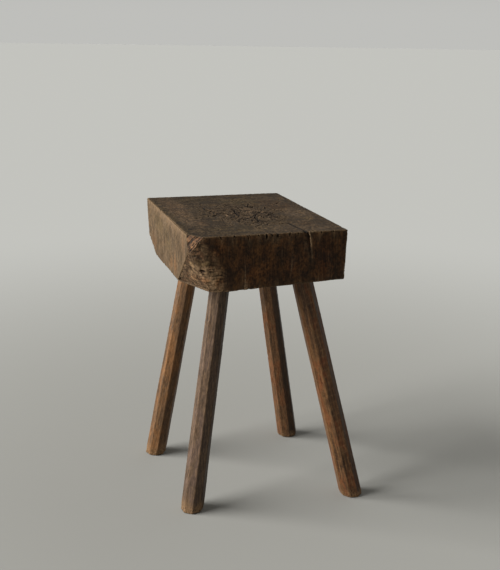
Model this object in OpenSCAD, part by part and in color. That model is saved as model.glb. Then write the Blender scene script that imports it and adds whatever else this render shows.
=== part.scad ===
// Rustic milking stool: a thick hewn block of wood on four splayed eight-sided legs.
// Each leg has a round tenon, held in a blind mortise by a hidden fox wedge.
// +X is to the right of a person who faces the stool's front, +Y is to the back, +Z is up.
// The origin is on the floor, in the middle of the stool's outline.

/* [Seat block] */
// Height of the sitting face above the floor
seat_h = 560; // [520:1:600]
// Width of the block, left to right
seat_w = 290; // [270:1:300]
// Depth of the block, front to back
seat_d = 393; // [380:1:410]
// Thickness of the block at its left face
thick_left = 103; // [98:1:110]
// Thickness of the block at its right face
thick_right = 92; // [86:1:98]
// How far the right face leans in at its lower edge
right_undercut = 3; // [0:1:8]
// Distance of the block's middle from the origin, to the left
seat_shift = 24.7; // [0:0.1:30]

/* [Waney front corner] */
// Lean of the corner's cut, on the front face, from upright
wane_lean = 23.5; // [15:0.5:30]
// Turn of the cut from square to the front face
wane_turn = 19.6; // [10:0.1:30]
// Distance of the cut from the left face, at the sitting face's height
wane_out = 5; // [2:0.5:10]
// Radius that blends the cut into the front face
wane_r = 30; // [20:1:40]

/* [Chipped corner] */
// Width of the chip along the front edge
chip_x = 24; // [15:1:30]
// Width of the chip along the left edge
chip_y = 30; // [20:1:40]
// Lean of the chip's upper facet from upright
chip_lean = 37; // [25:1:45]
// Turn of the chip's lower facet from the left face
chip_low_turn = 28; // [15:1:35]
// Lean of the chip's lower facet from upright
chip_low_lean = 12; // [5:1:20]

/* [Hewn back corner] */
// Height of the cut above the block's underside, on the left face
back_cut_h = 27; // [15:1:32]
// Slope of the cut from level, on the left face
back_cut_slope = 22; // [18:1:30]
// Slope of the steeper second cut above it
back_cut_upper_slope = 77; // [70:1:82]
// Distance of the line between the two cuts from the back face, on the left face
back_cut_in = 15; // [8:1:20]
// Turn of both cuts towards the left face
back_cut_turn = 24; // [10:1:35]

/* [Legs] */
// Diameter of a leg's round tenon
tenon_d = 26; // [22:0.5:28]
// Length of a tenon, measured along the leg above the block's underside
tenon_l = 62; // [50:1:64]
// Chamfer at the tenon's end
tenon_chamfer = 2; // [1:0.5:3]

/* [Fox wedges] */
// Length of a wedge
wedge_l = 38; // [30:1:44]
// Thickness of a wedge at its head
wedge_head_t = 5; // [3:0.5:7]
// Thickness of a wedge at its tip
wedge_tip_t = 1; // [0.6:0.2:1.6]
// How far a wedge's head stands out of its tenon, to the mortise's end
wedge_proud = 2; // [1:0.5:3]

/* [Hidden] */
$fn = 64;

seat_color = [0.25, 0.19, 0.13];
leg_color = [0.33, 0.20, 0.12];
wedge_color = [0.55, 0.42, 0.27];

// Fields of a leg: [foot x, foot y, head x, head y, width at the foot, width at the head, twist].
// The foot is where the leg's axis meets the floor, and the head where it reaches head_z.
// Widths are across flats. At twist 0 the flats are square to the block.
head_z = 469;
leg_sides = 8;
BACK_LEFT = [-172.5, 134.3, -89.8, 112.3, 42.1, 35.4, 14];
FRONT_LEFT = [-151.4, -123, -91.4, -112, 42.4, 34.8, 10];
BACK_RIGHT = [140.3, 142.8, 59.8, 112.8, 42.1, 37, 21];
FRONT_RIGHT = [173.7, -149.9, 61.3, -113.3, 42.2, 38.2, -1];

// Points on the block, in the frame of the whole stool
seat_left = -seat_w / 2 - seat_shift;
seat_right = seat_w / 2 - seat_shift;
seat_front = -seat_d / 2;
seat_back = seat_d / 2;
under_left = seat_h - thick_left;
under_right = seat_h - thick_right;

// Lengths that only have to be large enough
far = 1000;
overrun = 40;

// How far the waney corner's rounding stands in front of the front face
wane_brush = 0.3;

// Legs: lean of a leg's axis, and the axis's direction seen from above
function run(leg) = [leg[2] - leg[0], leg[3] - leg[1]];
function lean(leg) = atan2(norm(run(leg)), head_z);
function heading(leg) = atan2(run(leg)[1], run(leg)[0]);
function axis_length(leg) = head_z / cos(lean(leg));

// Height of the block's underside over a place x
function under_z(x) =
    under_left + (under_right - under_left) * (x - seat_left) / (seat_right - right_undercut - seat_left);

// Distance along a leg's axis, from the floor to the block's underside
function shoulder(leg) = axis_length(leg) * under_z(leg[2]) / head_z;

// Moves its children from a frame with +Z along the leg's axis
module along_leg(leg) {
    translate([leg[0], leg[1], 0])
        rotate([0, lean(leg), heading(leg)])
            rotate([0, 0, leg[6] - heading(leg)])
                children();
}

// The block's outline seen from the front
module seat_outline() {
    polygon([
        [seat_left, under_left],
        [seat_right - right_undercut, under_right],
        [seat_right, seat_h],
        [seat_left, seat_h]
    ]);
}

// Everything between the floor and the block's underside
module under_space() {
    reach = far / 2;
    rotate([90, 0, 0])
        linear_extrude(height = far, center = true)
            polygon([
                [-reach, 0],
                [reach, 0],
                [reach, under_z(reach)],
                [-reach, under_z(-reach)]
            ]);
}

// What the waney corner takes off, seen along the line where it would meet the front face.
// The front face lies along y = 0, and a rounding blends the sloping cut into it.
module wane_profile() {
    blend = wane_r * tan((90 - wane_turn) / 2);
    rotate(wane_turn)
        translate([-far, -far / 2])
            square([far, far]);
    difference() {
        polygon([
            [blend, -overrun],
            [-overrun, -overrun],
            [0, 0],
            [-blend * sin(wane_turn), blend * cos(wane_turn)],
            [blend, wane_r]
        ]);
        translate([blend, wane_r - wane_brush])
            circle(r = wane_r);
    }
}

module wane_cut() {
    translate([seat_left - wane_out, seat_front, seat_h])
        rotate([0, -wane_lean, 0])
            linear_extrude(height = far, center = true)
                wane_profile();
}

// One flat facet of the chip. It starts where the chip meets the left edge of the sitting face.
module chip_facet(turn, lean) {
    translate([seat_left, seat_front + chip_y, seat_h])
        rotate([0, 0, turn])
            rotate([0, lean, 0])
                translate([-overrun, -chip_y - overrun, -far / 2])
                    cube([overrun, 2 * chip_y + 2 * overrun, far]);
}

// The two facets where the block's upper front corner has split off
module chip_cut() {
    chip_facet(atan2(chip_x, chip_y), chip_lean);
    chip_facet(chip_low_turn, chip_low_lean);
}

// One flat cut that hews the lower back corner, rising towards the back
module back_facet(slope) {
    translate([seat_left, seat_back - back_cut_in, under_left + back_cut_h])
        rotate([0, 0, back_cut_turn])
            rotate([slope, 0, 0])
                translate([-far / 2, -far / 2, -far])
                    cube([far, far, far]);
}

module back_cut() {
    back_facet(back_cut_slope);
    back_facet(back_cut_upper_slope);
}

// The hole for a leg's tenon, with its end where the wedge's head bears
module mortise(leg) {
    along_leg(leg)
        translate([0, 0, shoulder(leg) - overrun])
            cylinder(h = overrun + tenon_l + wedge_proud, d = tenon_d);
}

module seat_block() {
    color(seat_color)
        difference() {
            translate([0, seat_back, 0])
                rotate([90, 0, 0])
                    linear_extrude(height = seat_d)
                        seat_outline();
            wane_cut();
            chip_cut();
            back_cut();
            mortise(BACK_LEFT);
            mortise(FRONT_LEFT);
            mortise(BACK_RIGHT);
            mortise(FRONT_RIGHT);
        }
}

// A wedge's outline, and the saw cut that it fills, with its head at z = 0
module wedge_taper(head_out) {
    head_half = wedge_head_t / 2;
    tip_half = wedge_tip_t / 2;
    rotate([90, 0, 0])
        linear_extrude(height = 2 * tenon_d, center = true)
            polygon([
                [-head_half, head_out],
                [-head_half, 0],
                [-tip_half, -wedge_l],
                [tip_half, -wedge_l],
                [head_half, 0],
                [head_half, head_out]
            ]);
}

// The eight-sided shaft, longer than the leg at both ends
module shaft(leg) {
    l = axis_length(leg);
    grow = (leg[4] - leg[5]) / l;
    half_flat = 180 / leg_sides;
    foot_r = (leg[4] + grow * overrun) / 2 / cos(half_flat);
    head_r = (leg[5] - grow * overrun) / 2 / cos(half_flat);
    translate([0, 0, -overrun])
        rotate([0, 0, half_flat])
            cylinder(h = l + 2 * overrun, r1 = foot_r, r2 = head_r, $fn = leg_sides);
}

// The round tenon with its saw cut
module tenon(leg) {
    plain_l = tenon_l - tenon_chamfer;
    translate([0, 0, shoulder(leg)])
        difference() {
            union() {
                translate([0, 0, -overrun / 2])
                    cylinder(h = overrun / 2 + plain_l, d = tenon_d);
                translate([0, 0, plain_l])
                    cylinder(h = tenon_chamfer, d1 = tenon_d, d2 = tenon_d - 2 * tenon_chamfer);
            }
            translate([0, 0, tenon_l])
                wedge_taper(overrun);
        }
}

module leg(fields) {
    color(leg_color)
        union() {
            intersection() {
                along_leg(fields) shaft(fields);
                under_space();
            }
            along_leg(fields) tenon(fields);
        }
}

module wedge(fields) {
    color(wedge_color)
        along_leg(fields)
            translate([0, 0, shoulder(fields) + tenon_l])
                intersection() {
                    wedge_taper(wedge_proud);
                    translate([0, 0, -wedge_l])
                        cylinder(h = wedge_l + wedge_proud, d = tenon_d - 2 * tenon_chamfer);
                }
}

module leg_back_left() { leg(BACK_LEFT); }
module leg_front_left() { leg(FRONT_LEFT); }
module leg_back_right() { leg(BACK_RIGHT); }
module leg_front_right() { leg(FRONT_RIGHT); }
module wedge_back_left() { wedge(BACK_LEFT); }
module wedge_front_left() { wedge(FRONT_LEFT); }
module wedge_back_right() { wedge(BACK_RIGHT); }
module wedge_front_right() { wedge(FRONT_RIGHT); }

seat_block();
leg_back_left();
leg_front_left();
leg_back_right();
leg_front_right();
wedge_back_left();
wedge_front_left();
wedge_back_right();
wedge_front_right();
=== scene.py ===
"""Looks of a rustic milking stool: a hewn block of old wood on four eight-sided legs."""

import math
from types import SimpleNamespace

import bpy
import bmesh
import numpy as np
from mathutils import Matrix, Vector


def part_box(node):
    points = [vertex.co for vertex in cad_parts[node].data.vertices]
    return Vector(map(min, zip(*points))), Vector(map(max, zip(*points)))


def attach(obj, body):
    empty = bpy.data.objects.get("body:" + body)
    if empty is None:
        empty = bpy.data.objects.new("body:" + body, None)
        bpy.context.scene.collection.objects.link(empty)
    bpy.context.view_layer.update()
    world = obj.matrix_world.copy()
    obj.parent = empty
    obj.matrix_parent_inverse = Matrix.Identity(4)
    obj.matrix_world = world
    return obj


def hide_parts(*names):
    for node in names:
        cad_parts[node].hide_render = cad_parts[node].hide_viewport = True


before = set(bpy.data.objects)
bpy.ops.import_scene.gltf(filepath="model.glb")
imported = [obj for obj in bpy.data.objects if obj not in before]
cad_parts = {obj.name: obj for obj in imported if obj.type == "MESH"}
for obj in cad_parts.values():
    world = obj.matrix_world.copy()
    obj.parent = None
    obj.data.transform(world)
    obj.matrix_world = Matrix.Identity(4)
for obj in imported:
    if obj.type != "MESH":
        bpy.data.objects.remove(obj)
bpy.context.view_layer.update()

MM = 0.001
LEGS = ("back_left", "front_left", "back_right", "front_right")

# The block's box, its middle seen from above and the height of its sitting face
SEAT_LOW, SEAT_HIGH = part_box("seat_block")
MID_X = (SEAT_LOW.x + SEAT_HIGH.x) / 2
MID_Y = (SEAT_LOW.y + SEAT_HIGH.y) / 2
TOP_Z = SEAT_HIGH.z

# About how much higher the block's underside lies at its right than at its left
UNDER_RISE = 12 * MM

# Where the heart of the log was, which the block's growth rings run round
HEART = np.array([MID_X - 5 * MM, MID_Y, SEAT_LOW.z])

# Sizes of the even faces that the detail is cut into, and the most triangles that a piece keeps
SEAT_FACE = 1.3 * MM
LEG_FACE = 1.1 * MM
SEAT_TRIANGLES, LEG_TRIANGLES = 190000, 80000

# Large odd numbers that scramble a place into a value that looks random
SCRAMBLE = np.array([73856093, 19349663, 83492791])
SCRAMBLE_SEED, SCRAMBLE_AGAIN = 40503, 1274126177


# ---------------------------------------------------------------- noise

def lattice(points, seed):
    """Smooth noise from -1 to 1, with one bump per unit, at points in rows of x, y, z."""
    cell = np.floor(points).astype(np.int64)
    part = points - cell
    part = part * part * (3 - 2 * part)
    total = np.zeros(len(points))
    for corner in range(8):
        step = np.array([corner & 1, corner >> 1 & 1, corner >> 2 & 1])
        at = cell + step
        mixed = np.bitwise_xor.reduce(at * SCRAMBLE, axis=1) ^ (seed * SCRAMBLE_SEED + 977)
        mixed = (mixed ^ mixed >> 13) * SCRAMBLE_AGAIN & 0xFFFFFFFF
        value = ((mixed ^ mixed >> 16) & 0xFFFF) / 32767.5 - 1
        weight = np.prod(np.where(step == 1, part, 1 - part), axis=1)
        total += weight * value
    return total


def noise(points, size, seed, octaves=3):
    """Noise from about -1 to 1. size is a bump's length in metres, or one length along each of x, y and z."""
    scaled = points / np.array(size)
    total = np.zeros(len(points))
    weight, sum_of_weights = 1.0, 0.0
    for octave in range(octaves):
        total += weight * lattice(scaled * 2 ** octave + 31.7 * octave, seed + octave)
        sum_of_weights += weight
        weight *= 0.5
    return total / sum_of_weights * 1.6


def smoothstep(low, high, value):
    """0 below low, 1 above high and smooth between them. low may be the larger one."""
    t = np.clip((value - low) / (high - low), 0, 1)
    return t * t * (3 - 2 * t)


# ---------------------------------------------------------------- meshes

def link(obj):
    bpy.context.scene.collection.objects.link(obj)
    return obj


def stand_in(name, node):
    """Finishes a piece that is shown instead of a CAD node."""
    obj = bpy.data.objects[name]
    for face in obj.data.polygons:
        face.use_smooth = True
    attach(obj, "root")
    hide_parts(node)


def apply_modifiers(obj):
    """Makes the modifiers' result the object's own mesh."""
    graph = bpy.context.evaluated_depsgraph_get()
    made = bpy.data.meshes.new_from_object(obj.evaluated_get(graph))
    obj.modifiers.clear()
    old = obj.data
    obj.data = made
    bpy.data.meshes.remove(old)


def even_copy(node, name, voxel):
    """A copy of a CAD node with small even faces, in the row frame."""
    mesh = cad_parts[node].data.copy()
    mesh.materials.clear()
    work = bmesh.new()
    work.from_mesh(mesh)
    bmesh.ops.remove_doubles(work, verts=work.verts, dist=1e-6)
    work.to_mesh(mesh)
    work.free()
    obj = link(bpy.data.objects.new(name, mesh))
    remesh = obj.modifiers.new("even", "REMESH")
    remesh.mode = "VOXEL"
    remesh.voxel_size = voxel
    apply_modifiers(obj)
    return obj


def thin_out(obj, triangles):
    """Collapses the flattest stretches until about that many triangles are left."""
    obj.data.calc_loop_triangles()
    have = len(obj.data.loop_triangles)
    if have > triangles:
        thin = obj.modifiers.new("thin", "DECIMATE")
        thin.ratio = triangles / have
        apply_modifiers(obj)


def points_of(mesh):
    co = np.zeros(len(mesh.vertices) * 3)
    mesh.vertices.foreach_get("co", co)
    return co.reshape(-1, 3)


def normals_of(mesh):
    out = np.zeros(len(mesh.vertices) * 3)
    mesh.vertices.foreach_get("normal", out)
    return out.reshape(-1, 3)


def edges_of(mesh):
    out = np.zeros(len(mesh.edges) * 2, np.int64)
    mesh.edges.foreach_get("vertices", out)
    return out.reshape(-1, 2)


def set_points(mesh, co):
    mesh.vertices.foreach_set("co", co.astype(np.float32).ravel())
    mesh.update()


def relax(values, edges, rounds):
    """Averages each vertex's row of values with its neighbours', that many times."""
    a, b = edges.T
    count = np.bincount(a, minlength=len(values)) + np.bincount(b, minlength=len(values))
    count = np.maximum(count, 1)
    out = values.copy()
    for _ in range(rounds):
        fresh = np.empty_like(out)
        for k in range(out.shape[1]):
            from_b = np.bincount(a, out[b, k], len(values))
            from_a = np.bincount(b, out[a, k], len(values))
            fresh[:, k] = (from_b + from_a) / count
        out = (out + fresh) / 2
    return out


def store(mesh, name, values):
    """Keeps one number per vertex for the materials to read."""
    layer = mesh.attributes.new(name, "FLOAT", "POINT")
    layer.data.foreach_set("value", values.astype(np.float32))


def store_place(mesh, name, points):
    """Keeps a point per vertex for the materials to read."""
    layer = mesh.attributes.new(name, "FLOAT_VECTOR", "POINT")
    layer.data.foreach_set("vector", points.astype(np.float32).ravel())


def store_relief(mesh, reach):
    """Keeps how far each vertex lies in a hollow or on a ridge, from 0 to 1. reach is in metres."""
    co, edges = points_of(mesh), edges_of(mesh)
    off = np.einsum("ij,ij->i", relax(co, edges, 5) - co, relax(normals_of(mesh), edges, 2))
    store(mesh, "hollow", np.clip(off / reach, 0, 1))
    store(mesh, "ridge", np.clip(-off / reach, 0, 1))


def off_line(p, q, a, b):
    """Distance of points (p, q) from the segment a-b, and how far along it they lie, from 0 to 1."""
    ab = np.subtract(b, a)
    t = np.clip(((p - a[0]) * ab[0] + (q - a[1]) * ab[1]) / (ab @ ab), 0, 1)
    return np.hypot(p - a[0] - t * ab[0], q - a[1] - t * ab[1]), t


def groove(p, q, line, half_width):
    """1 in the middle of a crack that follows line, 0 outside it. It narrows to nothing at both ends."""
    lengths = [math.dist(a, b) for a, b in zip(line, line[1:])]
    total, done, out = sum(lengths), 0.0, np.zeros(len(p))
    for a, b, length in zip(line, line[1:], lengths):
        d, t = off_line(p, q, a, b)
        along = (done + t * length) / total
        w = half_width * np.clip(4 * np.minimum(along + 0.05, 1.05 - along), 0.15, 1)
        out = np.maximum(out, np.clip(1 - d / w, 0, 1))
        done += length
    return out


# ---------------------------------------------------------------- the block

# Directions that the chip's two facets look in
CHIP_UPPER = np.array([-0.617, -0.497, 0.608])
CHIP_LOWER = np.array([-0.865, -0.457, 0.207])

# Where the waney corner's rounding ends on the front: [mm down from the sitting face, x from the middle]
WANE_END = [(6, -121), (15, -113), (41, -98), (67, -81), (103, -80)]

# Drying checks on the sitting face, in mm from its middle: [line, half width, depth]
TOP_CHECKS = [
    ([(66, -199), (64, -170), (62, -150), (60, -125), (57, -102)], 2.4, 9),
    ([(66, -208), (65, -185), (63, -160), (62, -145)], 2.3, 9),
    ([(-20, -108), (-5, -105), (5, -98), (12, -85), (14, -72), (12, -60), (18, -50), (32, -30)], 1.3, 5),
    ([(14, -114), (17, -122)], 2.0, 4),
    ([(38, -50), (55, -30), (66, -17)], 1.1, 3),
    ([(-1, 32), (-9, 2), (-9, -20), (-12, -45)], 1.4, 4),
    ([(-65, -33), (-50, -16), (-40, -7)], 1.3, 3),
    ([(-57, 62), (-58, 44)], 2.0, 4),
    ([(-14, 64), (-4, 74), (8, 86)], 1.2, 3),
    ([(45, 92), (38, 70), (32, 48)], 1.3, 3),
    ([(45, 54), (39, 38), (42, 25)], 1.1, 3),
    ([(24, -9), (32, -10), (43, 0)], 1.3, 3),
    ([(12, -48), (22, -33), (32, -22)], 1.2, 3),
    ([(68, 46), (61, 20)], 1.1, 2.5),
    ([(88, 62), (97, 70), (109, 82)], 1.1, 2.5),
    ([(1, -88), (5, -68)], 1.4, 3),
]

# The rough middle of the sitting face, in mm: its own middle and how far it reaches across and back
ROUGH_MIDDLE, ROUGH_REACH = (10, -8), (84, 104)

# Short splits that start at the front edge: [place along the edge, slant, length, half width]
EDGE_SPLITS = [
    (-91, 1, 6, 1.2), (-66, -1, 4, 0.9), (-43, 2, 9, 1.3), (-24, 1, 4, 0.8), (-7, -1, 10, 1.6),
    (2, 2, 6, 1.3), (12, 1, 9, 1.7), (36, -1, 6, 1.1), (52, 1, 4, 0.8), (94, 1, 5, 0.9), (118, -1, 4, 0.9),
]

# The big check on the front face: its right lip, in mm down from the top and across from the middle
FRONT_LIP = [(-1, 70), (12, 73), (28, 75), (48, 77), (62, 77)]

# Knot holes in the waney corner: [place x, y, down from the top, half width, half height, depth]
KNOTS = [(-125, -190, 62, 4.2, 1.7, 4), (-108, -196, 63, 3.2, 1.6, 2.2)]

# Stains, in mm: [across, down or back, half width, half height, strength]. On the front and on the waney
# corner that is x and the distance down, on the left face y and the distance down, on the top x and y.
FRONT_STAINS = {
    "dark": [
        (-101, 14, 18, 7, 0.8), (-84, 84, 9, 16, 0.45), (-50, 42, 12, 15, 0.8),
        (-78, 62, 8, 20, 0.4), (77, 65, 12, 17, 0.7), (118, 55, 16, 20, 0.6),
        (30, 74, 1.5, 9, 1.0), (66, 26, 6, 24, 0.6), (22, 22, 1.5, 18, 0.6),
        (40, 20, 1.6, 18, 0.6), (48, 24, 1.6, 20, 0.6), (56, 20, 1.6, 17, 0.5), (-20, 88, 22, 6, 0.5),
        (-134, 40, 8, 5, 0.7), (-113, 27, 12, 14, 0.5), (-131, 4, 15, 8, 0.9), (-112, 90, 26, 4, 0.4),
        (112, 50, 44, 60, 0.7),
    ],
    "warm": [
        (-98, 28, 14, 8, 0.9), (-10, 35, 9, 12, 0.5), (40, 55, 14, 18, 0.6), (100, 52, 15, 46, 0.6),
        (-92, 82, 10, 10, 0.9), (-120, 80, 12, 5, 0.6), (-30, 60, 10, 10, 0.4), (-20, 72, 60, 14, 0.4),
    ],
    "olive": [
        (-60, 72, 10, 10, 0.8), (-10, 51, 21, 8, 0.7), (-15, 17, 16, 9, 0.6), (125, 12, 11, 12, 0.6),
        (-125, 52, 16, 10, 0.6), (10, 70, 14, 12, 0.4),
    ],
    "pale": [
        (-79, 101, 4, 2, 1.0), (-65, 100, 4, 2, 1.0), (-45, 98, 3, 1.6, 0.9),
        (-28, 97, 3, 1.4, 0.8), (-88, 88, 7, 5, 0.5), (-106, 92, 12, 3, 0.4), (-124, 56, 13, 5, 0.6),
        (-112, 74, 14, 4, 0.4),
    ],
}
LEFT_STAINS = {
    "dark": [
        (-112, 17, 14, 8, 0.6), (-163, 24, 5, 9, 0.6), (170, 55, 12, 6, 0.5), (55, 101, 40, 3, 0.6),
        (-110, 42, 21, 8, 0.4), (20, 45, 30, 12, 0.3), (-165, 30, 26, 22, 0.5),
    ],
    "warm": [
        (120, 76, 28, 12, 0.8), (-40, 82, 14, 13, 0.8), (-76, 78, 17, 18, 0.9), (-140, 20, 12, 14, 0.5),
    ],
    "olive": [(60, 30, 60, 22, 0.5), (-20, 50, 34, 14, 0.5), (160, 20, 30, 14, 0.4)],
    "pale": [(-150, 44, 8, 26, 0.4), (0, 4, 190, 5, 0.4)],
}
TOP_STAINS = {
    "dark": [
        (6, 6, 84, 92, 0.55), (-12, -35, 9, 8, 0.8), (-8, -10, 6, 7, 0.8), (-57, 50, 8, 9, 0.7),
        (30, 180, 90, 12, 0.4),
    ],
    "warm": [
        (-112, 50, 18, 110, 0.5), (92, 62, 34, 62, 0.6), (90, -120, 15, 22, 0.4), (-95, -80, 15, 24, 0.5),
    ],
    "olive": [
        (-137, 0, 8, 180, 0.6), (30, 108, 46, 46, 0.7), (110, -80, 12, 24, 0.6), (-40, -150, 80, 36, 0.5),
        (-60, 150, 50, 30, 0.4),
    ],
    "pale": [
        (108, -42, 24, 60, 0.2), (-32, -25, 3, 3, 1.0), (-115, 120, 20, 50, 0.15), (-112, 20, 26, 170, 0.2),
        (60, -160, 90, 30, 0.1),
    ],
}
TINTS = ("dark", "warm", "olive", "pale")

# Pale scuffs on the front, in mm: lines of [x, down]
FRONT_SCUFFS = [
    [(50, 50), (40, 60), (36, 71)], [(127, 62), (133, 66), (136, 75)], [(138, 60), (142, 70), (140, 84)],
    [(101, 82), (112, 80), (120, 84)],
]


def seat_masks(co, normal):
    """Where each kind of surface is, from 0 to 1, by its place and the way it faces."""
    x, y, z = normal.T
    down = TOP_Z - co[:, 2]
    across = co[:, 0] - MID_X
    top, under = smoothstep(0.55, 0.85, z), smoothstep(0.55, 0.85, -z)
    upper, lower = smoothstep(0.91, 0.97, normal @ CHIP_UPPER), smoothstep(0.92, 0.98, normal @ CHIP_LOWER)
    chip = np.maximum(upper, lower)
    chip *= smoothstep(48 * MM, 40 * MM, down) * smoothstep(-106 * MM, -114 * MM, across)
    end = np.interp(down / MM, [place[0] for place in WANE_END], [place[1] for place in WANE_END]) * MM
    end += 5 * MM * noise(co, 14 * MM, 90, 2)
    aside = smoothstep(0.975, 0.92, -x)
    wane = aside * smoothstep(end + 9 * MM, end - 13 * MM, across) * (y < 0.3)
    wane *= smoothstep(20 * MM, -20 * MM, co[:, 1]) * (1 - top) * (1 - under) * (1 - chip)
    rest = (1 - wane) * (1 - chip)
    return {
        "top": top * (1 - chip),
        "under": under,
        "front": smoothstep(0.30, 0.50, -y) * rest * (1 - top) * (1 - under),
        "left": (1 - aside) * rest,
        "right": smoothstep(0.80, 0.97, x),
        "back": smoothstep(0.45, 0.85, y),
        "wane": wane,
        "chip": chip,
        "crease": 4 * aside * (1 - aside) * (y < 0.3) * (1 - chip) * (1 - top),
    }


def underside(x):
    """Height of the block's underside over places x."""
    return np.interp(x, [SEAT_LOW.x, SEAT_HIGH.x], [SEAT_LOW.z, SEAT_LOW.z + UNDER_RISE])


def in_mortise(co):
    """True inside the block, away from every outer face."""
    low, high = np.array(SEAT_LOW), np.array(SEAT_HIGH)
    side = np.minimum(co - low, high - co)[:, :2].min(axis=1)
    under = underside(co[:, 0])
    return (side > 45 * MM) & (co[:, 2] > under + 1.5 * MM) & (co[:, 2] < high[2] - 12 * MM)


def refine(obj, near):
    """Splits the faces around the chosen vertices, so that a crack has sharp walls."""
    work = bmesh.new()
    work.from_mesh(obj.data)
    work.verts.ensure_lookup_table()
    chosen = [e for e in work.edges if near[e.verts[0].index] and near[e.verts[1].index]]
    bmesh.ops.subdivide_edges(work, edges=chosen, cuts=2, use_grid_fill=True)
    bmesh.ops.triangulate(work, faces=[f for f in work.faces if len(f.verts) > 4])
    work.to_mesh(obj.data)
    work.free()


def random_checks():
    """Fine short cracks that curl around the block's middle, in mm from it."""
    draw = np.random.default_rng(7)
    out = []
    for _ in range(60):
        turn, reach = draw.uniform(0, 2 * math.pi), draw.uniform(0.1, 1) ** 0.7
        x = ROUGH_MIDDLE[0] + ROUGH_REACH[0] * reach * math.cos(turn)
        y = ROUGH_MIDDLE[1] + ROUGH_REACH[1] * reach * math.sin(turn)
        along = turn + math.pi / 2 + draw.normal(0, 0.7)
        length = draw.uniform(6, 22)
        bend = draw.uniform(-0.35, 0.35)
        line = [(x, y)]
        for _ in range(3):
            along += bend
            x += length / 3 * math.cos(along)
            y += length / 3 * math.sin(along)
            line.append((x, y))
        out.append((line, draw.uniform(0.7, 1.1), draw.uniform(0.8, 2.0)))
    return out


def rough_middle(x, y, co):
    """How far a place lies in the rough middle of the sitting face, from 0 to 1."""
    far = np.hypot((x - ROUGH_MIDDLE[0]) / ROUGH_REACH[0], (y - ROUGH_MIDDLE[1]) / ROUGH_REACH[1])
    return smoothstep(1.35, 0.25, far + 0.30 * noise(co, 30 * MM, 70, 2))


def network(co, size, seed, width, zone):
    """Broken curling lines where smooth noise passes through zero, and a band beside them.

    There are few of them where zone is low.
    """
    flow = lattice(co / size, seed) + 0.4 * lattice(co / size * 2.1, seed + 1)
    broken = smoothstep(0.55, 0.95, lattice(co / (1.7 * size), seed + 2) + 1.5 * zone)
    line = smoothstep(width, 0.3 * width, np.abs(flow))
    beside = smoothstep(1.0 * width, 1.6 * width, flow) * smoothstep(3.2 * width, 2.2 * width, flow)
    return line * broken, beside * broken


def checks_on_top(co, wobble):
    """Depth of the sitting face's cracks in metres, and from 0 to 1 their darkness, which is painted shade,
    and their pale edges, which are painted highlights.
    """
    x = (co[:, 0] - MID_X) / MM + wobble[:, 0]
    y = (co[:, 1] - MID_Y) / MM + wobble[:, 1]
    zone = rough_middle(x, y, co)
    coarse, coarse_edge = network(co, 10 * MM, 71, 0.17, zone)
    fine, fine_edge = network(co, 5.5 * MM, 75, 0.20, zone)
    deep = np.maximum(1.3 * coarse, 0.7 * fine)
    dark = (0.4 + 0.6 * zone) * np.maximum(0.85 * coarse, 0.6 * fine)
    for line, half_width, depth in TOP_CHECKS + random_checks():
        deep = np.maximum(deep, depth * np.minimum(1.6 * groove(x, y, line, half_width), 1))
        # Painted shade: the crack and a band round it are darkened, more for a deeper crack
        tinge = np.minimum(2.2 * groove(x, y, line, 1.5 * half_width), 1)
        dark = np.maximum(dark, tinge * min(1, 0.45 + depth / 5))
    # Painted highlight: a pale band beside the fine cracks
    pale = zone * np.maximum(0.8 * coarse_edge, 0.6 * fine_edge) * (1 - dark)
    return deep * MM, dark, pale


def splits_on_edge(co, wobble):
    """Depth and darkness of the short splits down the front face and in along the top. The darkness is
    painted shade in the splits.
    """
    x = (co[:, 0] - MID_X) / MM + 0.6 * wobble[:, 0]
    down = (TOP_Z - co[:, 2]) / MM
    inward = (co[:, 1] - SEAT_LOW.y) / MM
    deep = np.zeros(len(co))
    for place, slant, length, half_width in EDGE_SPLITS:
        on_front = groove(x, down, [(place, -2), (place + slant, length)], half_width) * (inward < 3)
        on_top = groove(x, inward, [(place, -2), (place - slant, 0.8 * length)], half_width) * (down < 3)
        deep = np.maximum(deep, np.minimum(1.5 * np.maximum(on_front, on_top), 1))
    return 3.2 * deep * MM, deep


def front_check(co, wobble):
    """Depth, darkness and paleness of the front's big check: a sharp pale lip right of a scooped trough. The
    trough's darkness is painted shade and the lip's paleness a painted highlight.
    """
    x = (co[:, 0] - MID_X) / MM + 0.7 * wobble[:, 2]
    down = (TOP_Z - co[:, 2]) / MM
    lip = np.interp(down, [p[0] for p in FRONT_LIP], [p[1] for p in FRONT_LIP])
    left_of = lip - x
    strength = np.interp(down, [-1, 14, 28, 50, 62], [1.0, 0.9, 0.5, 0.25, 0])
    scoop = np.where(left_of > 0, np.exp(-np.maximum(left_of, 0) / 5.5), np.clip(1 + left_of / 1.0, 0, 1))
    # Painted shade in the trough, left of the lip
    shade_from = np.interp(down, [20, 32], [0.8, -1.5])
    dark = np.where(left_of > shade_from, np.exp(-np.maximum(left_of - 1, 0) / 4.0), 0)
    fade = np.interp(down, [0, 20, 30, 55], [1.0, 1.0, 0.45, 0.1])
    # Painted highlight along the lip
    pale = np.clip(1.3 - np.abs(left_of + 0.5) / 0.8, 0, 1) * fade
    return 4.2 * strength * scoop * MM, 0.9 * strength ** 0.7 * dark, pale


def knot_distance(co, knot):
    """Distance from a knot hole's middle, in units of its size, and in metres."""
    x, y, down, half_w, half_h, _ = knot
    off = co - np.array([MID_X + x * MM, MID_Y + y * MM, TOP_Z - down * MM])
    along = np.array([0.36, -0.93, 0])
    return np.hypot(off @ along / (half_w * MM), off[:, 2] / (half_h * MM)), np.linalg.norm(off, axis=1)


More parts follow.
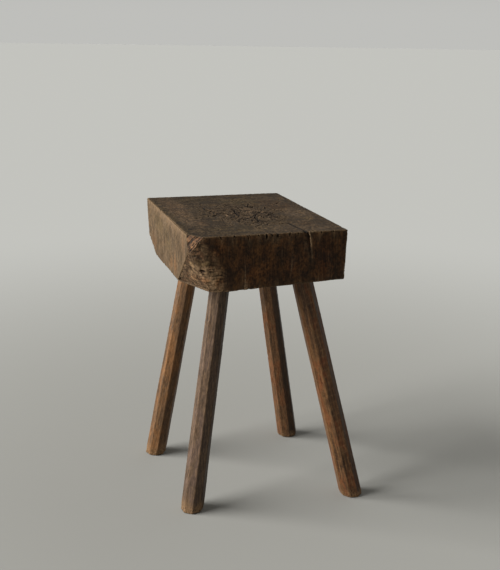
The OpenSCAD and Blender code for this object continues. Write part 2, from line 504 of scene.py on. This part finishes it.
def knot_holes(co):
    """Depth and darkness of the knot holes, each with a low rim. The darkness is painted shade, deeper holes
    darker.
    """
    deep, dark = np.zeros(len(co)), np.zeros(len(co))
    for knot in KNOTS:
        far, off = knot_distance(co, knot)
        close = off < 14 * MM
        shape = np.clip(1.3 - far, 0, 1) * close
        rim = np.exp(-((far - 1.9) / 0.5) ** 2) * close
        deep = np.maximum(deep, knot[5] * shape) - 0.5 * rim * (shape == 0)
        dark = np.maximum(dark, np.clip(1.5 * shape, 0, 1) * min(1, knot[5] / 3.5))
    return deep * MM, dark


def stains(across, down, marks, warp):
    """How strongly soft-edged stains cover each place, from 0 to 1."""
    out = np.zeros(len(across))
    for at_across, at_down, half_across, half_down, strength in marks:
        far = np.hypot((across - at_across) / half_across, (down - at_down) / half_down) + warp
        out = np.maximum(out, strength * smoothstep(1.3, 0.5, far))
    return out


def all_stains(co, mask):
    """The block's stains by tint, each face's own ones on that face only."""
    x, y = (co[:, 0] - MID_X) / MM, (co[:, 1] - MID_Y) / MM
    down = (TOP_Z - co[:, 2]) / MM
    warp = 0.35 * noise(co, 10 * MM, 80, 3)
    ahead = np.maximum.reduce([mask["front"], mask["wane"], mask["chip"]])
    out = {}
    for tint in TINTS:
        out[tint] = ahead * stains(x, down, FRONT_STAINS[tint], warp)
        out[tint] += mask["left"] * stains(y, down, LEFT_STAINS[tint], warp)
        out[tint] += mask["top"] * stains(x, y, TOP_STAINS[tint], warp)
    for line in FRONT_SCUFFS:
        out["pale"] = np.maximum(out["pale"], 0.9 * mask["front"] * groove(x + 4 * warp, down, line, 1.3))
    return out


def wobbles(co):
    """Sideways play, in mm, that keeps a crack from running straight."""
    slow = [noise(co, 9 * MM, 50 + k, 2) for k in range(3)]
    fast = [noise(co, 2.5 * MM, 60 + k, 2) for k in range(3)]
    return 1.6 * np.stack(slow, axis=1) + 0.5 * np.stack(fast, axis=1)


def cut_finely(seat):
    """Gives the block's mesh smaller faces where cracks, knots and the chip need them."""
    co = points_of(seat.data)
    normal = normals_of(seat.data)
    wobble = wobbles(co)
    near = (checks_on_top(co, wobble)[0] > 0.5 * MM) & (co[:, 2] > TOP_Z - 3 * MM)
    near |= splits_on_edge(co, wobble)[0] > 0.3 * MM
    near |= (front_check(co, wobble)[0] > 1.0 * MM) & (co[:, 1] < SEAT_LOW.y + 3 * MM)
    near |= knot_holes(co)[0] > 0.3 * MM
    near |= seat_masks(co, normal)["chip"] > 0.3
    near = relax(near[:, None].astype(float), edges_of(seat.data), 2)[:, 0] > 0.02
    refine(seat, near)


def hewn_faces(co, mask):
    """How far each face lies inside its plane, in metres: slow unevenness, then each face's own marks."""
    inward = (0.15 + 0.2 * noise(co, 70 * MM, 11)) * MM
    inward += mask["top"] * (0.30 * np.abs(noise(co, 7 * MM, 12)) + 0.05) * MM
    streaks = noise(co, (4 * MM, 4 * MM, 90 * MM), 13)
    broad = noise(co, (13 * MM, 13 * MM, 160 * MM), 14, 2)
    inward += mask["front"] * (0.18 * streaks + 0.35 * broad + 0.25) * MM
    inward += (mask["left"] + mask["back"]) * (0.12 * streaks + 0.30 * broad + 0.2) * MM
    inward += mask["right"] * (0.10 * streaks + 0.20 * broad + 0.1) * MM
    inward += mask["under"] * (0.2 * noise(co, (30 * MM, 5 * MM, 30 * MM), 15) + 0.1) * MM
    return inward


def wane_terraces(co):
    """The waney corner's terraces, from 0 to 1. They run level and bend round the knots."""
    level = co[:, 2] + 10 * MM * noise(co, 34 * MM, 16, 3)
    for knot in KNOTS:
        off = knot_distance(co, knot)[1]
        level += 6 * MM * np.exp(-(off / (12 * MM)) ** 2)
    rings = np.sin(2 * math.pi * level / (6.5 * MM)) + 0.5 * np.sin(2 * math.pi * level / (2.9 * MM))
    return np.clip(0.5 + 0.35 * rings + 0.3 * noise(co, 7 * MM, 26, 2), 0, 1)


def torn_fibres(co):
    """The chip's torn fibres, which run slantwise: about 1 on top of one and about 0 between two."""
    across = (0.62 * (co[:, 0] - MID_X) - 0.78 * (co[:, 1] - MID_Y) + TOP_Z - co[:, 2]) / math.sqrt(2)
    fibres = lattice(np.stack([across / (1.6 * MM), co[:, 0] / (30 * MM), co[:, 1] / (30 * MM)], 1), 18)
    return 0.5 - 0.5 * fibres - 0.3 * noise(co, 5 * MM, 19)


def cracks_and_knots(co):
    """Their depth in metres, and from 0 to 1 their darkness, which is painted shade, and their pale lip and
    pale edges, which are painted highlights.
    """
    wobble = wobbles(co)
    top_area = co[:, 2] > TOP_Z - 3 * MM
    on_front = co[:, 1] < SEAT_LOW.y + 3 * MM
    deep_top, dark_top, top_rim_highlight = checks_on_top(co, wobble)
    deep_edge, dark_edge = splits_on_edge(co, wobble)
    deep_front, dark_front, front_check_highlight = front_check(co, wobble)
    deep_knot, dark_knot = knot_holes(co)
    deep = deep_top * top_area + deep_edge + deep_front * on_front + deep_knot
    dark = np.maximum.reduce([dark_top * top_area, dark_edge, dark_front * on_front, dark_knot])
    return deep, dark, front_check_highlight * on_front, top_rim_highlight


def clip_to_block(co):
    """Keeps points inside the CAD block's box."""
    return np.clip(co, np.array(SEAT_LOW), np.array(SEAT_HIGH))


def make_seat():
    """The block with worn edges, hewn faces, waney corner, chip, checks and knots."""
    seat = even_copy("seat_block", "seat", SEAT_FACE)
    cut_finely(seat)
    mesh = seat.data
    co = points_of(mesh)
    edges = edges_of(mesh)
    smooth = relax(co, edges, 7)
    normal = relax(normals_of(mesh), edges, 3)
    normal /= np.linalg.norm(normal, axis=1)[:, None]
    mask = seat_masks(co, normal)
    inner = in_mortise(co)
    round_off = np.linalg.norm(smooth - co, axis=1)
    x, y = (co[:, 0] - MID_X) / MM, (co[:, 1] - MID_Y) / MM
    down = (TOP_Z - co[:, 2]) / MM

    # Worn edges: the sharp corners are rounded, more in some places than in others
    wear = 0.50 + 0.45 * noise(co, 22 * MM, 3)
    wear = np.clip(wear, 0.15, 1) * (1 - 0.8 * mask["crease"])
    worn = co + (smooth - co) * wear[:, None]

    # No line shows on the waney corner where its cut turns into its rounding
    even = relax(co, edges, 45)
    worn += (even - worn) * (mask["wane"] ** 2 * (1 - mask["crease"]))[:, None]

    # The faces, the waney corner's terraces and lumps, and the chip's fibres
    inward = hewn_faces(co, mask)
    terrace = wane_terraces(co)
    lumps = noise(co, 16 * MM, 17)
    inward += mask["wane"] * (0.6 * terrace + 0.9 * lumps + 0.7) * MM
    inward += mask["wane"] * smoothstep(84, 100, down) * 2.0 * MM
    torn = torn_fibres(co)
    inward += mask["chip"] * (2.2 * (1 - torn) + 0.3) * MM

    # Roughened middle of the sitting face
    rough_zone = rough_middle(x, y, co) * mask["top"]
    pits = np.clip(noise(co, 5 * MM, 20, 2) - 0.15, 0, 1)
    inward += rough_zone * (0.7 * pits + 0.25 * noise(co, 3 * MM, 21, 2)) * MM

    # Nibbled arrises, most of all along the front's lower one
    nibble = np.clip(noise(co, 5 * MM, 22, 3) - 0.25, 0, 1)
    lower_front = smoothstep(80, 92, down) * (co[:, 1] < 0)
    inward += np.clip(round_off / (0.5 * MM), 0, 1) * nibble * (2.6 + 1.6 * lower_front) * MM

    deep, crack, highlight_on_lip, top_rim_highlight = cracks_and_knots(co)
    inward += deep
    inward = np.where(inner, 0, inward)
    worn = np.where(inner[:, None], co, worn)
    set_points(mesh, clip_to_block(worn - normal * inward[:, None]))

    tints = all_stains(co, mask)
    # The pale tint also carries the painted highlights on the check's lip and beside the top's cracks
    tints["pale"] = np.maximum.reduce([tints["pale"], highlight_on_lip, 0.7 * top_rim_highlight * mask["top"]])
    # Painted shade: the darkness of cracks, splits and knot holes
    store(mesh, "crack", np.clip(crack, 0, 1))
    store(mesh, "arris", np.clip(round_off / (0.55 * MM), 0, 1) * ~inner)
    store(mesh, "rough_zone", rough_zone)
    store(mesh, "terrace", terrace)
    store(mesh, "torn", np.clip(torn, 0, 1))
    for name in ("top", "front", "left", "wane", "chip", "under", "crease"):
        store(mesh, name, mask[name])
    for name in TINTS:
        store(mesh, name, tints[name])
    store_relief(mesh, 0.6 * MM)
    thin_out(seat, SEAT_TRIANGLES)
    set_points(seat.data, clip_to_block(points_of(seat.data)))
    store_place(seat.data, "grain", points_of(seat.data) - HEART)
    return seat


# ---------------------------------------------------------------- the legs

# Each leg's colours: darker wood, lighter wood, and the tint of its broad stains
LEG_TONES = {
    "back_left": ("46311f", "6b4c30", "744c27"),
    "front_left": ("42342a", "5e4b3b", "54433a"),
    "back_right": ("46301f", "6b482c", "6b3c1d"),
    "front_right": ("4b3321", "73502f", "734325"),
}

# How far up each foot its fibres are frayed, in metres
LEG_FRAY = {"back_left": 0.020, "front_left": 0.018, "back_right": 0.007, "front_right": 0.009}

# A direction away from the window, to the right and somewhat forward, and how much painted shade darkens each
# leg's wood on the sides that face that way. This painted shade is in the wood's colour, so it stays there
# under any other light.
PAINTED_SHADE_FACING = np.array([0.85, -0.53, 0])
LEG_PAINTED_SHADE = {"back_left": 0.25, "front_left": 0.6, "back_right": 0.8, "front_right": 0.6}

# Where the heart of the log was, beside a leg's own axis, in metres
LEG_HEART = (0.05, 0.03, 0)


def make_leg(place):
    """One leg with worn arrises and a bruised foot. Its grain runs along it."""
    leg = even_copy("leg_" + place, "shaft_" + place, LEG_FACE)
    mesh = leg.data
    co = points_of(mesh)
    middle = co.mean(axis=0)
    _, _, axes = np.linalg.svd(co - middle, full_matrices=False)
    axis = Vector(axes[0] if axes[0][2] > 0 else -axes[0])
    turn = np.array(Vector((0, 0, 1)).rotation_difference(axis).to_matrix())
    along = (co - middle) @ turn

    seed = 100 + 10 * LEGS.index(place)
    edges = edges_of(mesh)
    smooth = relax(co, edges, 3)
    normal = relax(normals_of(mesh), edges, 2)
    normal /= np.linalg.norm(normal, axis=1)[:, None]
    round_off = np.linalg.norm(smooth - co, axis=1)
    height = co[:, 2]
    hidden = smoothstep(-1.0 * MM, 0.5 * MM, height - underside(co[:, 0]))

    wear = 0.7 + 0.5 * noise(along, (15 * MM, 15 * MM, 40 * MM), seed)
    worn = co + (smooth - co) * np.clip(wear, 0.3, 1.3)[:, None]
    inward = (0.35 + 0.35 * noise(along, (30 * MM, 30 * MM, 110 * MM), seed + 1, 2)) * MM
    inward += (0.13 * noise(along, (3 * MM, 3 * MM, 60 * MM), seed + 2) + 0.1) * MM
    dents = np.clip(noise(along, (9 * MM, 9 * MM, 16 * MM), seed + 3, 2) - 0.72, 0, 1)
    inward += dents * 1.6 * MM

    # The foot: its edge is broken away and the ends of its fibres are frayed
    foot = smoothstep(LEG_FRAY[place], 1 * MM, height)
    side = np.clip(round_off / (0.5 * MM), 0, 1)
    broken = np.clip(noise(along, (5 * MM, 5 * MM, 9 * MM), seed + 4, 2), 0, 1)
    fray = LEG_FRAY[place] / (16 * MM)
    inward += foot * (0.4 + (0.4 + side) * (1.0 + 2.6 * fray * broken)) * MM
    placed = np.where((hidden > 0.5)[:, None], co, worn - normal * (inward * (1 - hidden))[:, None])
    placed[:, 2] += smoothstep(3 * MM, 0, height) * side * broken * 5 * fray * MM
    placed[:, 2] = np.maximum(placed[:, 2], 0)
    set_points(mesh, placed)

    store(mesh, "arris", np.clip(round_off / (0.4 * MM), 0, 1) * (1 - hidden))
    # Painted shade: how far each vertex faces away from the window, for darkening the wood there
    turned = normal @ PAINTED_SHADE_FACING
    store(mesh, "away", 0.35 * smoothstep(0.0, 0.5, turned) + 0.65 * smoothstep(0.6, 0.9, turned))
    store_relief(mesh, 0.5 * MM)
    thin_out(leg, LEG_TRIANGLES)
    store_place(leg.data, "grain", (points_of(leg.data) - middle) @ turn)
    return leg


# ---------------------------------------------------------------- materials

def colour(code):
    """A shader colour from its usual six-digit code."""
    parts = [int(code[k:k + 2], 16) / 255 for k in (0, 2, 4)]
    return [c / 12.92 if c <= 0.04045 else ((c + 0.055) / 1.055) ** 2.4 for c in parts] + [1]


class Paint:
    """A material in the making. Each method adds a node and returns the socket that it gives."""

    def __init__(self, name):
        self.material = bpy.data.materials.new(name)
        self.material.use_nodes = True
        self.tree = self.material.node_tree
        self.shader = self.tree.nodes["Principled BSDF"]

    def put(self, socket, value):
        if isinstance(value, bpy.types.NodeSocket):
            self.tree.links.new(value, socket)
        else:
            socket.default_value = value

    def add(self, kind, inputs, **settings):
        node = self.tree.nodes.new(kind)
        for name, value in settings.items():
            setattr(node, name, value)
        for key, value in inputs.items():
            self.put(node.inputs[key], value)
        return node

    def mask(self, name):
        return self.add("ShaderNodeAttribute", {}, attribute_name=name).outputs["Fac"]

    def place(self, name):
        return self.add("ShaderNodeAttribute", {}, attribute_name=name).outputs["Vector"]

    def where(self):
        return self.add("ShaderNodeTexCoord", {}).outputs["Object"]

    def stretch(self, vector, size, shift=(0, 0, 0)):
        """The vector in units of size, given in mm along x, y and z."""
        inputs = {"Vector": vector, "Scale": [1 / (s * MM) for s in size], "Location": shift}
        return self.add("ShaderNodeMapping", inputs).outputs[0]

    def noise(self, vector, size, detail=4, roughness=0.55, distortion=0, shift=(0, 0, 0)):
        inputs = {"Vector": self.stretch(vector, size, shift), "Scale": 1, "Detail": detail}
        inputs.update({"Roughness": roughness, "Distortion": distortion})
        return self.add("ShaderNodeTexNoise", inputs).outputs["Fac"]

    def calc(self, operation, a, b=0.0):
        return self.add("ShaderNodeMath", {0: a, 1: b}, operation=operation).outputs[0]

    def times(self, a, b):
        return self.calc("MULTIPLY", a, b)

    def plus(self, a, b):
        return self.calc("ADD", a, b)

    def span(self, value, low, high, to_low=0.0, to_high=1.0):
        """value's stretch from low to high laid on to_low to to_high, smoothly and no further."""
        inputs = {"Value": value, "From Min": low, "From Max": high, "To Min": to_low, "To Max": to_high}
        return self.add("ShaderNodeMapRange", inputs, interpolation_type="SMOOTHSTEP").outputs[0]

    def mix(self, share, a, b, blend="MIX"):
        node = self.add("ShaderNodeMix", {0: share, 6: a, 7: b}, data_type="RGBA", blend_type=blend)
        return node.outputs[2]

    def blend_many(self, start, layers):
        """start under [share, colour] layers, each over the last."""
        for share, over in layers:
            start = self.mix(share, start, over)
        return start

    def veil(self, base, pattern, low, high, share, code):
        """base under a colour that grows from none to share as pattern goes from low to high."""
        return self.mix(self.span(pattern, low, high, 0, share), base, colour(code))

    def speckle(self, base, pattern, strength):
        """base made lighter where pattern is above a half, and darker where it is below."""
        off = self.times(self.calc("SUBTRACT", pattern, 0.5), strength)
        return self.mix(1.0, base, self.plus(off, 1.0), "MULTIPLY")

    def bump(self, height, distance, strength):
        """A bumpy normal. distance is how high the bumps are, in mm."""
        inputs = {"Height": height, "Distance": distance * MM, "Strength": strength}
        return self.add("ShaderNodeBump", inputs).outputs[0]

    def split(self, vector):
        node = self.add("ShaderNodeSeparateXYZ", {0: vector})
        return node.outputs["X"], node.outputs["Y"], node.outputs["Z"]

    def radius(self, vector):
        """Distance from the vector's own Z axis."""
        x, y, _ = self.split(vector)
        return self.calc("SQRT", self.plus(self.times(x, x), self.times(y, y)))

    def dress(self, obj):
        """Makes this the object's only material."""
        obj.data.materials.clear()
        obj.data.materials.append(self.material)


def ring_pattern(p, grain, spacing, wander):
    """Growth rings round the grain's own Z axis, 0 to 1 over each year."""
    warp = p.noise(grain, (wander, wander, 6 * wander), 2, 0.5)
    years = p.plus(p.times(p.radius(grain), 1 / (spacing * MM)), p.times(warp, wander / spacing * 0.35))
    return p.calc("FRACT", years)


def block_patterns(p):
    """The masks and noises that the block's material is made of, by name."""
    grain = p.place("grain")
    faces = ("top", "front", "left", "under", "wane", "chip", "crease")
    marks = ("crack", "hollow", "ridge", "arris", "rough_zone", "terrace", "torn")
    return SimpleNamespace(
        **{name: p.mask(name) for name in faces + marks + TINTS},
        rings=ring_pattern(p, grain, 4.2, 30),
        fibre=p.noise(grain, (1.6, 1.6, 45), 5, 0.6),
        streak=p.noise(grain, (7, 7, 120), 4, 0.6, 0.4),
        blotch=p.noise(grain, (42, 42, 46), 5, 0.65, 0.5),
        patch=p.noise(grain, (20, 20, 24), 5, 0.62, 0.4, (7, 3, 5)),
        mottle=p.noise(grain, (9, 9, 10), 4, 0.6, 0.6, (3, 1, 8)),
        speck=p.noise(grain, (2.2, 2.2, 2.8), 3, 0.6),
        grit=p.noise(grain, (4.0, 4.0, 5.5), 2, 0.6, 0.3, (4, 6, 1)),
        coarse_grit=p.noise(grain, (5, 12, 5), 3, 0.6, 1.0, (9, 2, 2)),
        smear=p.noise(grain, (50, 9, 50), 4, 0.6, 0.3, (2, 9, 4)),
        scratch=p.noise(grain, (50, 40, 2.0), 3, 0.6, 0.2, (5, 2, 1)),
    )


def block_woods(p, s):
    """Each face's colours, from dark to light, and then its patches, streaks and mottles. The front's darker
    colours are partly its own wood and partly painted shade, and the top's greyish ones partly a painted
    sheen.
    """
    side = p.mix(p.span(s.patch, 0.38, 0.64), colour("302012"), colour("523923"))
    side = p.veil(side, s.streak, 0.50, 0.62, 0.4, "5a4129")
    side = p.veil(side, s.mottle, 0.50, 0.66, 0.5, "23170d")
    side = p.veil(side, s.blotch, 0.52, 0.66, 0.4, "4f4029")
    # The front is darker than the left face: partly its own wood and partly painted shade
    front = p.mix(p.span(s.patch, 0.38, 0.64), colour("26170b"), colour("462c15"))
    front = p.veil(front, s.streak, 0.50, 0.62, 0.3, "4c331a")
    front = p.veil(front, s.mottle, 0.50, 0.66, 0.5, "190e07")
    left = p.mix(p.span(s.patch, 0.36, 0.64), colour("463724"), colour("645039"))
    left = p.veil(left, s.streak, 0.45, 0.62, 0.35, "6c563e")
    left = p.veil(left, s.mottle, 0.48, 0.68, 0.4, "3c2e1f")
    left = p.veil(left, s.scratch, 0.56, 0.70, 0.15, "3a2b1d")
    # The top's greyish tones are partly its own wood and partly a painted sheen
    top = p.mix(p.span(s.smear, 0.35, 0.65), colour("261d13"), colour("433524"))
    top = p.veil(top, s.mottle, 0.45, 0.65, 0.6, "2a2015")
    wane = p.mix(p.span(s.patch, 0.40, 0.60), colour("3b2b1b"), colour("765e44"))
    wane = p.veil(wane, s.mottle, 0.50, 0.64, 0.5, "6b4a33")
    wane = p.veil(wane, s.terrace, 0.55, 0.95, 0.7, "24170d")
    chip = p.mix(p.span(s.torn, 0.35, 0.80), colour("170e08"), colour("785639"))
    chip = p.veil(chip, s.mottle, 0.45, 0.62, 0.5, "33200f")
    return p.blend_many(side, [
        (s.top, top), (s.front, front), (s.left, left), (s.wane, wane), (s.chip, chip),
    ])


def block_stains(p, s, base):
    """Dark, warm, olive and pale stains over base. The pale tint also carries painted highlights on the front
    check's lip and beside the sitting face's cracks.
    """
    base = p.mix(p.times(s.dark, 0.75), base, (0.40, 0.36, 0.36, 1), "MULTIPLY")
    base = p.mix(p.times(s.warm, 0.80), base, (1.42, 1.07, 0.76, 1), "MULTIPLY")
    base = p.mix(p.times(s.olive, 0.80), base, (1.05, 1.10, 0.84, 1), "MULTIPLY")
    return p.mix(p.times(s.pale, p.span(s.speck, 0.30, 0.60, 0.3, 0.8)), base, colour("94785c"))


def block_grain(p, s, base):
    """Rings, fibres, specks and grit over base."""
    base = p.veil(base, s.rings, 0.55, 0.95, 0.18, "21160e")
    base = p.veil(base, s.fibre, 0.42, 0.30, 0.5, "1d130b")
    base = p.veil(base, s.fibre, 0.58, 0.78, 0.22, "8d7458")
    base = p.mix(p.times(s.top, p.span(s.speck, 0.54, 0.70, 0, 0.35)), base, colour("6a5a44"))
    base = p.mix(p.times(s.rough_zone, p.span(s.speck, 0.55, 0.40, 0, 0.6)), base, colour("1b140d"))
    base = p.speckle(base, s.grit, p.span(s.left, 0, 1, 3.2, 1.8))
    return p.speckle(base, s.coarse_grit, p.times(s.top, 3.0))


def block_wear_and_shade(p, s, base):
    """Worn arrises and the crease are lighter than base, partly wear and partly a painted highlight, and
    ridges carry a painted highlight. Hollows, cracks and the underside are painted darker: painted shade.
    """
    open_wood = p.calc("SUBTRACT", 1.0, s.crack)
    # Arrises and the crease are lighter: partly wear and partly a painted highlight
    scuff_and_highlight = p.times(s.arris, p.span(s.speck, 0.35, 0.65, 0.05, 0.4))
    worn = p.times(open_wood, p.plus(scuff_and_highlight, p.times(s.crease, 0.3)))
    base = p.mix(worn, base, colour("7c6549"))
    # Painted highlight on ridges
    base = p.mix(p.times(p.times(s.ridge, open_wood), 0.3), base, colour("8a7152"))
    # Painted shade in hollows
    base = p.mix(p.times(s.hollow, 0.7), base, colour("1b120a"))
    # Painted shade: cracks, splits and knot holes are painted near black
    base = p.mix(s.crack, base, colour("0b0704"))
    # Painted shade on the underside
    return p.mix(p.times(s.under, 0.5), base, colour("2a1e15"))


def paint_seat(seat):
    p = Paint("old_block_wood")
    s = block_patterns(p)
    base = block_wear_and_shade(p, s, block_grain(p, s, block_stains(p, s, block_woods(p, s))))
    rough = p.plus(p.span(s.blotch, 0.35, 0.65, 0.58, 0.72), p.times(s.hollow, 0.2))
    relief = p.plus(p.times(s.fibre, 0.6), p.plus(p.times(s.speck, 0.25), p.times(s.rings, 0.10)))
    p.put(p.shader.inputs["Base Color"], base)
    p.put(p.shader.inputs["Roughness"], rough)
    p.shader.inputs["Specular IOR Level"].default_value = 0.12
    p.put(p.shader.inputs["Normal"], p.bump(relief, 0.8, 0.8))
    p.dress(seat)


def paint_leg(leg, place):
    p = Paint("old_leg_wood_" + place)
    dark, light, tinge = LEG_TONES[place]
    grain = p.place("grain")
    seed = LEGS.index(place) * 3 + 1
    shift = (seed, 2 * seed, 5 * seed)
    from_heart = p.add("ShaderNodeMapping", {"Vector": grain, "Location": LEG_HEART}).outputs[0]
    rings = ring_pattern(p, from_heart, 2.6, 20)
    fibre = p.noise(grain, (1.1, 1.1, 40), 5, 0.6, 0, shift)
    streak = p.noise(grain, (5, 5, 130), 4, 0.6, 0.5, shift)
    blotch = p.noise(grain, (22, 22, 60), 4, 0.6, 0.6, shift)
    speck = p.noise(grain, (1.8, 1.8, 4), 3, 0.6, 0, shift)
    grit = p.noise(grain, (3.0, 3.0, 12), 2, 0.6, 0.3, shift)
    _, _, height = p.split(p.where())
    base = p.mix(p.span(streak, 0.34, 0.68), colour(dark), colour(light))
    base = p.veil(base, blotch, 0.47, 0.60, 0.8, tinge)
    base = p.veil(base, blotch, 0.44, 0.32, 0.6, "2c1c10")
    base = p.veil(base, rings, 0.55, 0.95, 0.2, "20140b")
    base = p.veil(base, fibre, 0.44, 0.30, 0.7, "1d120a")
    base = p.veil(base, fibre, 0.54, 0.70, 0.45, "93724e")
    # The arrises are lighter, partly wear and partly a painted highlight, and the hollows are painted darker:
    # painted shade
    base = p.mix(p.times(p.mask("arris"), p.span(speck, 0.35, 0.65, 0.25, 0.8)), base, colour("9c7b59"))
    base = p.mix(p.times(p.mask("hollow"), 0.7), base, colour("1b110a"))
    base = p.speckle(base, grit, 1.8)
    # Painted shade: the sides that face away from the window are darkened towards near black
    base = p.mix(p.times(p.mask("away"), LEG_PAINTED_SHADE[place]), base, colour("140c06"))
    frayed = p.plus(height, p.times(p.calc("SUBTRACT", p.plus(speck, blotch), 1.0), 0.05))
    base = p.veil(base, frayed, 1.8 * LEG_FRAY[place], 0.001, 0.65, "8c6d4b")
    # Darker specks towards the bottom, over the lowest 30 mm of the leg
    low_specks = p.times(p.span(height, 0.030, 0.004), p.span(speck, 0.50, 0.62, 0, 0.7))
    base = p.mix(low_specks, base, colour("23170d"))
    # Painted shade: the legs darken towards their tops, under the block
    base = p.veil(base, height, 0.40, 0.47, 0.4, "22160d")
    p.put(p.shader.inputs["Base Color"], base)
    p.put(p.shader.inputs["Roughness"], p.span(blotch, 0.35, 0.65, 0.48, 0.62))
    p.shader.inputs["Specular IOR Level"].default_value = 0.2
    relief = p.plus(p.times(fibre, 0.7), p.times(speck, 0.2))
    p.put(p.shader.inputs["Normal"], p.bump(relief, 0.6, 0.8))
    p.dress(leg)


def paint_wedges():
    p = Paint("wedge_wood")
    where = p.where()
    fibre = p.noise(where, (1.2, 1.2, 30), 5, 0.6)
    streak = p.noise(where, (4, 4, 60), 3, 0.6, 0.4)
    base = p.mix(p.span(streak, 0.35, 0.65), colour("6b4d30"), colour("8d6b46"))
    base = p.veil(base, fibre, 0.45, 0.30, 0.6, "3a2817")
    p.put(p.shader.inputs["Base Color"], base)
    p.put(p.shader.inputs["Roughness"], p.span(streak, 0.3, 0.7, 0.55, 0.7))
    p.put(p.shader.inputs["Normal"], p.bump(fibre, 0.4, 0.7))
    for place in LEGS:
        p.dress(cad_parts["wedge_" + place])


# ---------------------------------------------------------------- the studio

# The floor's radius in metres, its reflectance by the stool and further away, and between which two
# distances it changes
FLOOR_RADIUS = 120
# The change from near to far is painted light: darker by the stool and paler out towards the horizon
FLOOR_NEAR, FLOOR_FAR = (0.315, 0.31, 0.285, 1), (0.475, 0.475, 0.45, 1)
FLOOR_CHANGE = (0.2, 2.4)

# The sky's tint, its brightness low and high up, and between which two heights it changes. 0 is the horizon
# and 1 is overhead.
SKY_TINT = (1.0, 1.0, 0.96, 1)
SKY_LOW, SKY_HIGH = 0.52, 0.18
SKY_CHANGE = (0.02, 0.25)

# The camera's place in metres, its lens and sensor in mm, and how far it is turned to the right, tipped down
# and leant over, in degrees
CAMERA_PLACE = (-0.4947, -1.5774, 0.8841)
CAMERA_LENS, CAMERA_SENSOR = 54.16, 36
CAMERA_TURN, CAMERA_TIP, CAMERA_LEAN = 17.39, 15.98, 0.85


def make_floor():
    """A wide round floor that runs out to the horizon."""
    mesh = bpy.data.meshes.new("floor")
    work = bmesh.new()
    bmesh.ops.create_circle(work, cap_ends=True, segments=96, radius=FLOOR_RADIUS)
    work.to_mesh(mesh)
    work.free()
    floor = link(bpy.data.objects.new("floor", mesh))
    p = Paint("pale_floor")
    # Painted light: the floor is darker by the stool and paler further out, standing in for light falling off
    # across it
    far = p.span(p.radius(p.where()), *FLOOR_CHANGE)
    p.put(p.shader.inputs["Base Color"], p.mix(far, FLOOR_NEAR, FLOOR_FAR))
    p.shader.inputs["Roughness"].default_value = 1
    p.shader.inputs["Specular IOR Level"].default_value = 0
    mesh.materials.append(p.material)


def make_sky():
    """A pale grey that is the same all round, and brightest where it meets the floor."""
    world = bpy.data.worlds.new("studio")
    bpy.context.scene.world = world
    world.use_nodes = True
    tree = world.node_tree
    back = tree.nodes["Background"]
    coord = tree.nodes.new("ShaderNodeTexCoord")
    split = tree.nodes.new("ShaderNodeSeparateXYZ")
    ramp = tree.nodes.new("ShaderNodeMapRange")
    ramp.interpolation_type = "SMOOTHSTEP"
    tree.links.new(coord.outputs["Generated"], split.inputs[0])
    tree.links.new(split.outputs["Z"], ramp.inputs["Value"])
    ramp.inputs["From Min"].default_value = SKY_CHANGE[0]
    ramp.inputs["From Max"].default_value = SKY_CHANGE[1]
    ramp.inputs["To Min"].default_value = SKY_LOW
    ramp.inputs["To Max"].default_value = SKY_HIGH
    tree.links.new(ramp.outputs[0], back.inputs["Strength"])
    back.inputs["Color"].default_value = SKY_TINT


def add_sun(name, azimuth, elevation, strength, width):
    """A wide soft light from far away. azimuth 0 is in front of the stool and 90 at its left side."""
    data = bpy.data.lights.new(name, "SUN")
    data.energy = strength
    data.angle = math.radians(width)
    sun = link(bpy.data.objects.new(name, data))
    a, e = math.radians(azimuth), math.radians(elevation)
    towards = Vector((-math.sin(a) * math.cos(e), -math.cos(a) * math.cos(e), math.sin(e)))
    sun.rotation_mode = "QUATERNION"
    sun.rotation_quaternion = towards.to_track_quat("Z", "Y")


def make_camera():
    data = bpy.data.cameras.new("camera")
    data.sensor_width = CAMERA_SENSOR
    data.lens = CAMERA_LENS
    camera = link(bpy.data.objects.new("camera", data))
    yaw, pitch, roll = math.radians(CAMERA_TURN), math.radians(CAMERA_TIP), math.radians(CAMERA_LEAN)
    ahead = Vector((math.sin(yaw) * math.cos(pitch), math.cos(yaw) * math.cos(pitch), -math.sin(pitch)))
    level = Vector((math.cos(yaw), -math.sin(yaw), 0))
    up = level.cross(ahead)
    right = math.cos(roll) * level + math.sin(roll) * up
    over = math.cos(roll) * up - math.sin(roll) * level
    turn = Matrix((right, over, -ahead)).transposed()
    camera.matrix_world = Matrix.Translation(CAMERA_PLACE) @ turn.to_4x4()
    bpy.context.scene.camera = camera


# ---------------------------------------------------------------- all together

paint_seat(make_seat())
stand_in("seat", "seat_block")
for place in LEGS:
    paint_leg(make_leg(place), place)
    stand_in("shaft_" + place, "leg_" + place)
paint_wedges()

make_floor()
make_sky()
add_sun("window", 97, 28, 6.0, 46)
add_sun("fill", -112, 28, 0.45, 80)
make_camera()
bpy.context.scene.view_settings.view_transform = "Standard"
